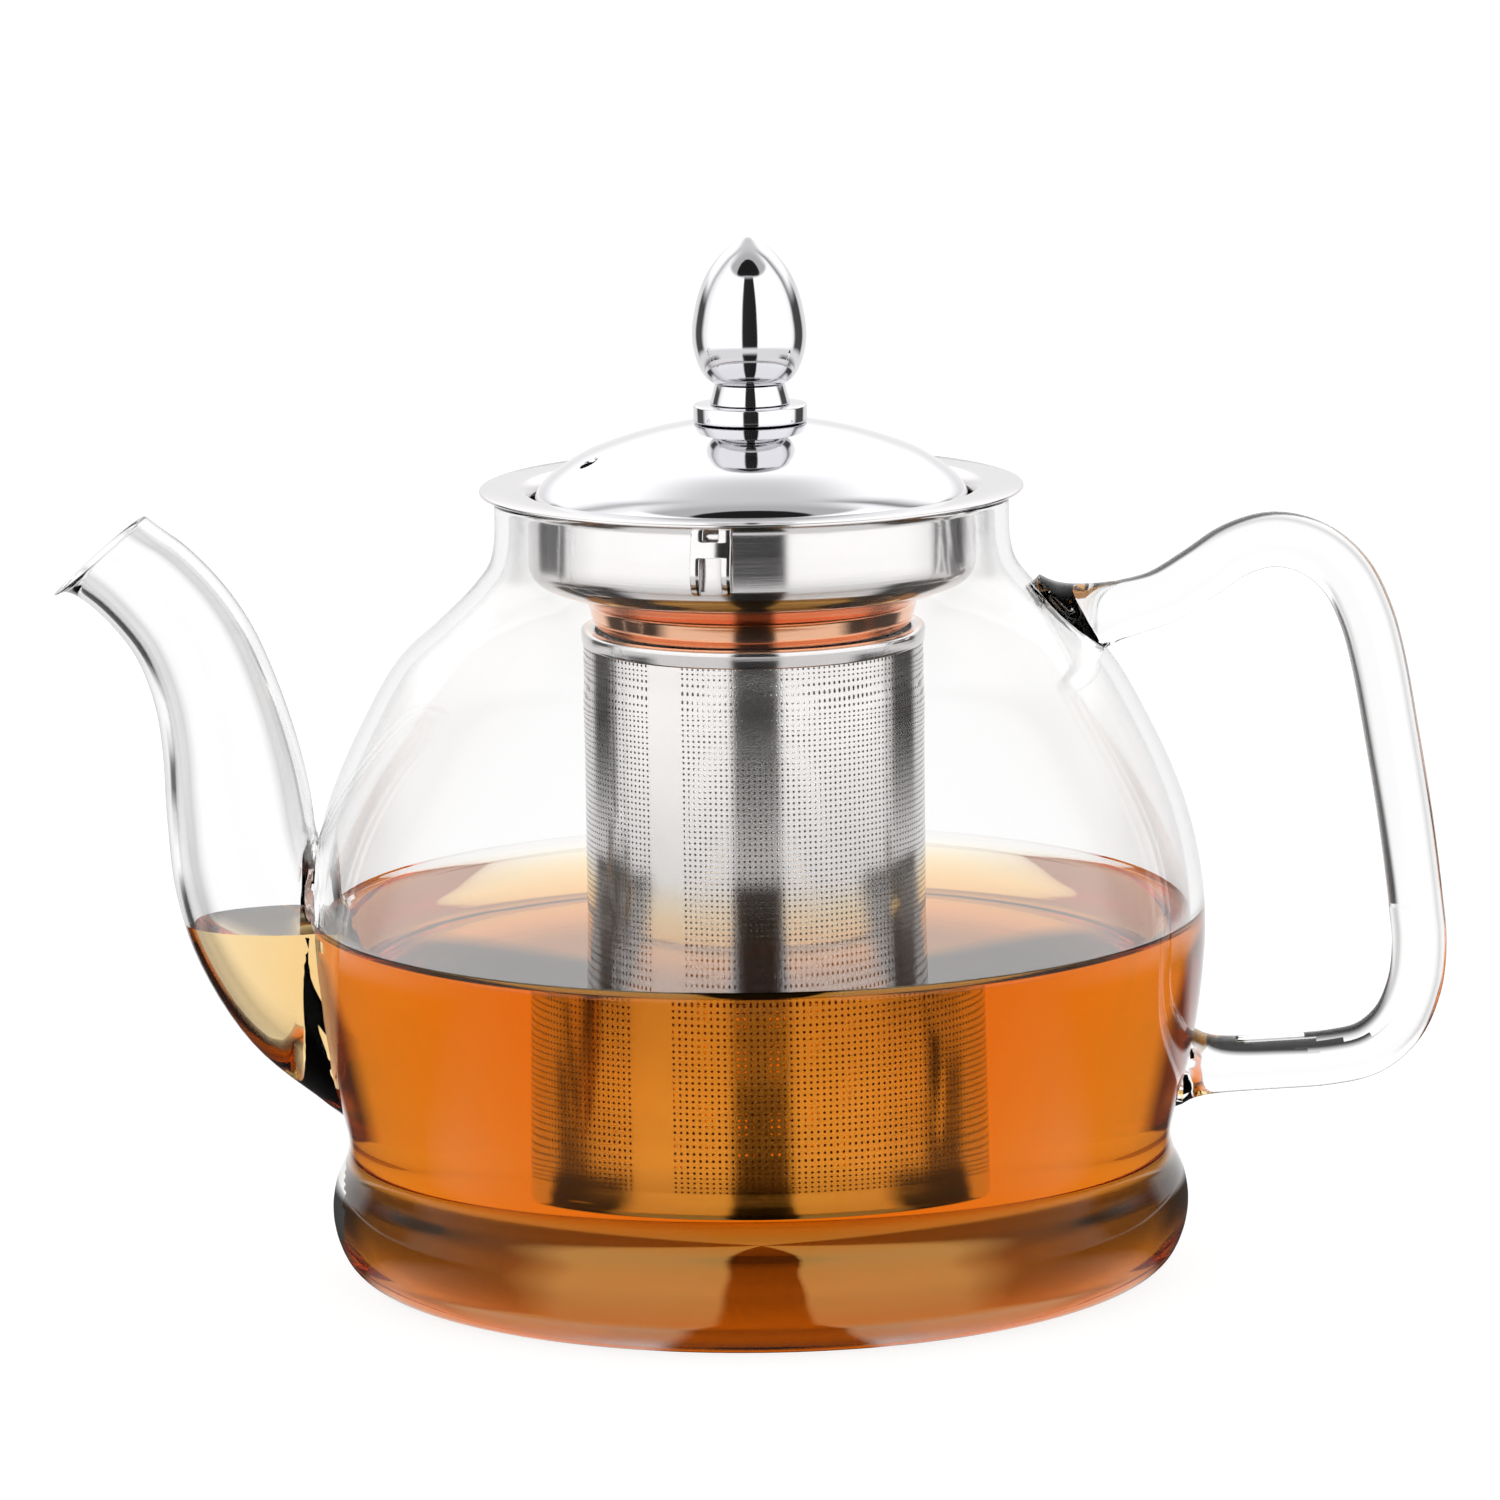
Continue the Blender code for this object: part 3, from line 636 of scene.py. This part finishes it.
# the tea reaches a hair into the glass, so that no film of air shows between them
def makeTea(material):
    level, into = potForm["teaLevel"], 0.12
    inside = [p for p in besideLine(bodyInside()[1:-1], -into) if p.y < level - 0.2]
    inside = [Vector((0, potForm["floor"] - into))] + inside
    meniscus = [
        Vector((inside[-1].x + 0.1, level + 1.5)), Vector((inside[-1].x - 0.9, level + 0.55)),
        Vector((inside[-1].x - 2.2, level + 0.12)), Vector((inside[-1].x - 4.0, level)),
    ]
    outline = inside + meniscus + [Vector((0, level))]
    tea = turnedPiece("tea", outline, material, potForm["steps"], ring=False)
    inSpout = addPiece("teaInSpout", loftRings(spoutRings(spoutForm["wall"] - into, 0.0),
                                               spoutForm["sides"]), None)
    bm = bmesh.new()
    bmesh.ops.create_cube(bm, size=0.2, matrix=Matrix.Translation((-0.16, 0, level * mm - 0.1)))
    low = addPiece("lowHalf", bm, None)
    joinSolids(inSpout, "INTERSECT", low)
    joinSolids(tea, "UNION", inSpout)
    tea.data.materials.clear()
    tea.data.materials.append(material)
    tea.data.shade_smooth()
    tea.data.set_sharp_from_angle(angle=math.radians(40))
    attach(tea, "pot")
    return tea


def fit(piece, body, node):
    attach(piece, body)
    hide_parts(node)
    return piece


infuserForm = {
    "sheet": 0.6, "lip": 1.9, "drum": 32.6, "steps": 160,
    "shoulder": [
        (32.6, 106.2), (32.5, 105.1), (31.9, 103.7), (30.6, 102.3), (28.2, 101.2), (25.6, 100.0),
        (24.3, 99.1), (23.9, 98.2), (23.5, 97.0), (23.15, 95.9), (22.7, 95.1), (21.5, 94.4), (20.9, 93.4),
    ],
    "ring": [(23.6, 94.6), (24.1, 94.9), (24.8, 95.0), (25.15, 94.7), (25.15, 94.0), (25.0, 92.9)],
    "base": [(23.2, 15.0), (24.4, 15.25), (24.85, 16.2), (24.85, 20.2)],
    "tube": 25.1, "tubeWall": 0.3, "tubeLow": 20.1, "tubeHigh": 92.9,
    "rows": 87, "columns": 47, "sectors": 4, "hole": 0.19, "seam": 5.35, "seamTurn": -121.3,
}


def makeCollar(satin):
    form = infuserForm
    low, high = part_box("infuser_collar")
    flange = Vector((high.x, high.z)) / mm - Vector((0.3, 0.3))
    centre = (form["drum"] + form["lip"], flange.y - form["lip"])
    lip = arcLine(centre, form["lip"], 90, 180, 12)
    middle = [flange, Vector((36.0, flange.y))] + lip + roundLine(form["shoulder"], 5)
    outline = sheetOutline(middle, form["sheet"])
    collar = turnedPiece("infuserCollar", outline, satin, form["steps"])
    fit(collar, "infuser", "infuser_collar")
    bead = sheetOutline(roundLine(form["ring"], 5), 0.5)
    ring = turnedPiece("infuserTopRing", bead, satin, form["steps"])
    fit(ring, "infuser", "infuser_top_ring")
    cup = [Vector((0, 15.0))] + roundLine(form["base"], 5)
    above, below = besideLine(cup, 0.3), besideLine(cup, -0.3)
    above[0], below[0] = Vector((0, 15.3)), Vector((0, 14.7))
    base = turnedPiece("infuserBase", above + below[::-1], satin, form["steps"], ring=False)
    fit(base, "infuser", "infuser_base")


# one hole's square of sheet, repeated up a column, and the column round a quarter of the tube
def makeTube(steel):
    form = infuserForm
    radius, rows, columns = form["tube"], form["rows"], form["columns"]
    pitchZ = (form["tubeHigh"] - form["tubeLow"]) / rows
    seamTurn = form["seam"] / radius
    pitchTurn = (math.tau - seamTurn) / (columns * form["sectors"])
    face = Matrix.Rotation(math.radians(90), 4, "Y")
    bm = bmesh.new()
    made = bmesh.ops.create_circle(bm, segments=8, radius=form["hole"] * mm, matrix=face)
    holeEdges = list({e for v in made["verts"] for e in v.link_edges})
    square = bmesh.ops.create_grid(bm, x_segments=1, y_segments=1, size=0.5, matrix=face)
    bmesh.ops.scale(bm, vec=(1, pitchTurn * radius * mm, pitchZ * mm), verts=square["verts"])
    bmesh.ops.delete(bm, geom=bm.faces[:], context="FACES_ONLY")
    outer = [e for e in bm.edges if e not in holeEdges]
    bmesh.ops.bridge_loops(bm, edges=holeEdges + outer)
    start = Vector((radius, 0, form["tubeLow"] + pitchZ / 2)) * mm
    bmesh.ops.translate(bm, vec=start, verts=bm.verts)
    cell = bm.faces[:] + bm.edges[:] + bm.verts[:]
    for row in range(1, rows):
        copied = bmesh.ops.duplicate(bm, geom=cell)["geom"]
        corners = [v for v in copied if isinstance(v, bmesh.types.BMVert)]
        bmesh.ops.translate(bm, vec=(0, 0, row * pitchZ * mm), verts=corners)
    first = math.radians(form["seamTurn"]) + (seamTurn + pitchTurn) / 2
    bmesh.ops.rotate(bm, cent=(0, 0, 0), matrix=Matrix.Rotation(first, 3, "Z"), verts=bm.verts)
    bmesh.ops.spin(bm, geom=bm.faces[:] + bm.edges[:] + bm.verts[:], cent=(0, 0, 0), axis=upright,
                   dvec=(0, 0, 0), angle=pitchTurn * (columns - 1), steps=columns - 1,
                   use_duplicate=True, use_merge=False)
    bmesh.ops.remove_doubles(bm, verts=bm.verts, dist=4e-6)
    bmesh.ops.recalc_face_normals(bm, faces=bm.faces)
    outwards = bm.faces[:][0]
    if outwards.normal.dot(outwards.calc_center_median()) < 0:
        bmesh.ops.reverse_faces(bm, faces=bm.faces)
    sector = addPiece("infuserTube1", bm, steel)
    thick = sector.modifiers.new("wall", "SOLIDIFY")
    thick.thickness, thick.offset = form["tubeWall"] * mm, -1
    joinSolids(sector, "UNION")
    sector.data.shade_smooth()
    sector.data.set_sharp_from_angle(angle=math.radians(35))
    fit(sector, "infuser", "infuser_tube")
    for index in range(1, form["sectors"]):
        mesh = sector.data.copy()
        mesh.transform(Matrix.Rotation(pitchTurn * columns * index, 4, "Z"))
        more = bpy.data.objects.new(f"infuserTube{index + 1}", mesh)
        scene.collection.objects.link(more)
        fit(more, "infuser", "infuser_tube")
    print("tube faces:", form["sectors"] * len(sector.data.polygons))
    makeSeam(steel)


# the plain strip where the sheet's two ends are welded
def makeSeam(steel):
    form = infuserForm
    low, high, outer = form["tubeLow"], form["tubeHigh"], form["tube"]
    inner = outer - form["tubeWall"]
    turn = form["seam"] / outer
    bm = bmesh.new()
    corners = [bm.verts.new((r * mm, 0, z * mm)) for r, z in
               ((outer, high), (outer, low), (inner, low), (inner, high))]
    face = bm.faces.new(corners)
    start = math.radians(form["seamTurn"]) - turn / 2
    bmesh.ops.rotate(bm, cent=(0, 0, 0), matrix=Matrix.Rotation(start, 3, "Z"), verts=bm.verts)
    bmesh.ops.spin(bm, geom=[face], cent=(0, 0, 0), axis=upright, dvec=(0, 0, 0), angle=turn, steps=8,
                   use_duplicate=False, use_merge=False)
    bmesh.ops.recalc_face_normals(bm, faces=bm.faces)
    fit(addPiece("infuserSeam", bm, steel), "infuser", "infuser_tube")


clipForm = {
    "line": [
        (33.95, 114.3), (34.2, 112.8), (34.75, 110.6), (35.0, 109.2), (34.95, 107.8), (34.6, 106.4),
        (34.2, 105.5),
    ],
    "wall": 0.5, "width": 5.8, "corner": 0.8, "window": (3.1, 111.0), "notch": (2.2, 113.3),
    "count": 3, "turn": -99.8,
}


# a cutter that runs along X, from one height to another, with its edges along X rounded
def roundBlock(name, width, low, high, corner):
    bm = bmesh.new()
    bmesh.ops.create_cube(bm, size=1)
    bmesh.ops.scale(bm, vec=(8 * mm, width * mm, (high - low) * mm), verts=bm.verts)
    edges = [e for e in bm.edges if abs(e.verts[0].co.x - e.verts[1].co.x) > mm]
    bmesh.ops.bevel(bm, geom=edges, offset=corner * mm, segments=5, profile=0.5,
                    affect="EDGES", material=-1)
    bmesh.ops.translate(bm, vec=(34.5 * mm, 0, (low + high) / 2 * mm), verts=bm.verts)
    return addPiece(name, bm, None)


# a bowed leaf with two legs, cut out of a bent strip
def makeClip(index, steel):
    form = clipForm
    bm = bmesh.new()
    outline = sheetOutline(roundLine(form["line"], 4), form["wall"])
    corners = [bm.verts.new((p.x * mm, -form["width"] / 2 * mm, p.y * mm)) for p in outline]
    face = bm.faces.new(corners)
    made = bmesh.ops.extrude_face_region(bm, geom=[face])["geom"]
    moved = [v for v in made if isinstance(v, bmesh.types.BMVert)]
    bmesh.ops.translate(bm, vec=(0, form["width"] * mm, 0), verts=moved)
    bmesh.ops.recalc_face_normals(bm, faces=bm.faces)
    clip = addPiece(f"springClip{index + 1}", bm, steel)
    top, bottom = form["line"][0][1], form["line"][-1][1]
    trim = roundBlock("trim", form["width"] - 0.02, bottom - 0.3, top + 0.3, form["corner"])
    joinSolids(clip, "INTERSECT", trim)
    windowWidth, windowTop = form["window"]
    notchWidth, notchLow = form["notch"]
    joinSolids(clip, "DIFFERENCE", roundBlock("window", windowWidth, bottom - 4, windowTop, 0.35),
               roundBlock("notch", notchWidth, notchLow, top + 3, 0.4))
    roundSharpEdges(clip, 0.12, 2, lambda edge: True)
    turn = math.radians(form["turn"] + 360 / form["count"] * index)
    clip.data.transform(Matrix.Rotation(turn, 4, "Z"))
    clip.data.shade_smooth()
    clip.data.set_sharp_from_angle(angle=math.radians(50))
    clip.data.materials.clear()
    clip.data.materials.append(steel)
    fit(clip, f"clip_{index + 1}", f"spring_clip_{index + 1}")


lidForm = {
    "apex": 126.6, "ball": 62.0, "sheet": 0.6, "steps": 192, "hole": 1.8,
    "edge": [(28.2, 119.35), (30.35, 117.6), (31.5, 116.2), (31.85, 115.4)],
    "vent": (-23.7, -8.0, 1.25),
    "plate": (8.4, 128.7), "ferrule": (5.9, 5.2, 131.7),
    "finial": [
        (5.7, 132.0), (6.35, 132.5), (7.25, 133.8), (8.0, 135.8), (8.4, 137.9), (8.42, 140.0),
        (8.1, 142.2), (7.6, 144.4), (6.85, 146.5), (5.8, 148.5), (4.1, 150.7), (2.0, 152.6),
        (1.0, 153.3), (0.5, 153.5), (0.0, 153.6),
    ],
    "skirt": [(31.1, 115.3), (31.1, 107.4), (30.9, 106.6), (30.2, 106.3), (29.6, 106.3)],
}


def crownHeight(radius):
    form = lidForm
    return form["apex"] - form["ball"] + math.sqrt(form["ball"] ** 2 - radius ** 2)


def makeLid(bright, satin):
    form = lidForm
    top = [(r, crownHeight(r)) for r in (form["hole"], 6, 11, 16, 21, 25)] + form["edge"]
    middle = besideLine(roundLine(top, 6), -form["sheet"] / 2)
    dome = turnedPiece("lidDome", sheetOutline(middle, form["sheet"]), bright, form["steps"])
    x, y, radius = form["vent"]
    bm = bmesh.new()
    bmesh.ops.create_cone(bm, cap_ends=True, segments=40, radius1=radius * mm, radius2=radius * mm,
                          depth=20 * mm, matrix=Matrix.Translation(Vector((x, y, 120)) * mm))
    joinSolids(dome, "DIFFERENCE", addPiece("vent", bm, None))
    roundSharpEdges(dome, 0.15, 2, lambda edge: True)
    dome.data.shade_smooth()
    dome.data.set_sharp_from_angle(angle=math.radians(50))
    fit(dome, "lid", "lid_dome")

    rim, plateTop = form["plate"]
    plate = [Vector((form["hole"], plateTop)), *arcLine((rim - 0.35, plateTop - 0.35), 0.35, 90, 0, 5),
             *arcLine((rim - 0.2, crownHeight(rim) + 0.4), 0.2, 0, -90, 4)]
    plate += [Vector((r, crownHeight(r) + 0.2)) for r in (6, 4, form["hole"])]
    fit(turnedPiece("knobPlate", plate, bright, 96), "lid", "knob_plate")

    wide, narrow, ferruleTop = form["ferrule"]
    low = plateTop + 0.1
    ferrule = [Vector((form["hole"], low)), *arcLine((wide - 0.15, low + 0.15), 0.15, -90, 0, 4),
               *arcLine((narrow - 0.15, ferruleTop - 0.15), 0.15, 15, 90, 4),
               Vector((form["hole"], ferruleTop))]
    fit(turnedPiece("knobFerrule", ferrule, bright, 96), "lid", "knob_ferrule")

    egg = [Vector((0, ferruleTop + 0.2)), Vector((4.9, ferruleTop + 0.2))] + roundLine(form["finial"], 8)
    finial = turnedPiece("knobFinial", egg, bright, 96, ring=False, smoothAngle=50)
    fit(finial, "lid", "knob_finial")

    band = sheetOutline(roundLine(form["skirt"], 4), form["sheet"])
    skirt = turnedPiece("lidSkirt", band, satin, form["steps"])
    fit(skirt, "lid", "lid_skirt")


shotLook = {
    "distance": 1.2, "elevation": 10.0, "frameWidth": 0.222, "aim": (-0.0007, 0, 0.0770), "roll": -0.78,
    "sensor": 36, "nearest": 0.05, "farthest": 60,
}


def makeStage():
    bm = bmesh.new()
    bmesh.ops.create_circle(bm, cap_ends=True, segments=96, radius=stageLook["floorRadius"])
    bmesh.ops.translate(bm, vec=(0, 0, -stageLook["floorDrop"]), verts=bm.verts)
    floor = addPiece("floor", bm, paleFloor())
    world = bpy.data.worlds.new("softStudio")
    scene.world = world
    world.use_nodes = True
    f = Finish(world.node_tree)
    split = f.node("ShaderNodeSeparateXYZ", None, {0: f.node("ShaderNodeTexCoord", out=0)})
    x, y, z = (Wire(f, output) for output in split.socket.node.outputs)
    ring, turn = studioRing(f, x, y)
    off = f.node("ShaderNodeMath", {"operation": "ABSOLUTE"}, {0: turn - 0.5}) * 2.0
    backHigh = smoothStep(f, z, *stageLook["backFrom"]) * smoothStep(f, off, *stageLook["backRound"])
    sides = blend(ring, stageLook["behind"], backHigh)
    front = blend(sides, stageLook["overhead"], smoothStep(f, z, *stageLook["boxTop"]))
    rear = blend(sides, stageLook["topBack"], smoothStep(f, z, *stageLook["backTop"]))
    glow = blend(front, rear, smoothStep(f, y, *stageLook["rearFrom"]))
    back, wide, deep = stageLook["patch"]
    patch = (x / wide) ** 2.0 + ((y - back) / deep) ** 2.0
    dark = 1.0 - smoothStep(f, patch, *stageLook["patchEdge"])
    dark = dark * smoothStep(f, z, *stageLook["patchFrom"])
    glow = glow * (1.0 - stageLook["patchDark"] * dark)
    white = (1, 1, 1, 1)
    sky = f.node("ShaderNodeBackground", None, {"Color": white, "Strength": glow})
    plain = f.node("ShaderNodeBackground", None, {"Color": white, "Strength": stageLook["plain"]})
    direct = f.node("ShaderNodeLightPath", out=0)
    shown = f.node("ShaderNodeMixShader", None, {0: direct, 1: sky, 2: plain})
    f.node("ShaderNodeOutputWorld", None, {"Surface": shown})


def makeCamera():
    data = bpy.data.cameras.new("camera")
    camera = bpy.data.objects.new("camera", data)
    scene.collection.objects.link(camera)
    scene.camera = camera
    data.sensor_width = shotLook["sensor"]
    data.lens = shotLook["sensor"] * shotLook["distance"] / shotLook["frameWidth"]
    data.clip_start, data.clip_end = shotLook["nearest"], shotLook["farthest"]
    tilt = math.radians(shotLook["elevation"])
    back = Vector((0, -math.cos(tilt), math.sin(tilt)))
    camera.location = Vector(shotLook["aim"]) + back * shotLook["distance"]
    facing = (-back).to_track_quat("-Z", "Y").to_matrix().to_4x4()
    roll = Matrix.Rotation(math.radians(shotLook["roll"]), 4, "Z")
    camera.matrix_world = Matrix.Translation(camera.location) @ facing @ roll


makeCamera()
makeStage()
print("stage and camera made")
glass, wetGlass, tea = potGlass(), potGlass("wetGlass", "wetIor"), brewedTea()
bright, satin, sheet = polishedSteel(), satinSteel(), perforatedSteel()
makePot(glass, wetGlass)
makeTea(tea)
print("pot and tea made")
makeCollar(satin)
makeTube(sheet)
for clipIndex in range(clipForm["count"]):
    makeClip(clipIndex, satin)
print("infuser made")
makeLid(bright, satin)
print("lid made")

# the screw and its washer stay as the frame has them
for name in ("knob_screw", "knob_washer"):
    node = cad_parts[name]
    node.data.materials.clear()
    node.data.materials.append(satin)

scene.view_settings.view_transform = "Standard"
scene.cycles.max_bounces = 20
scene.cycles.transmission_bounces = 20
scene.cycles.glossy_bounces = 8
scene.cycles.transparent_max_bounces = 16
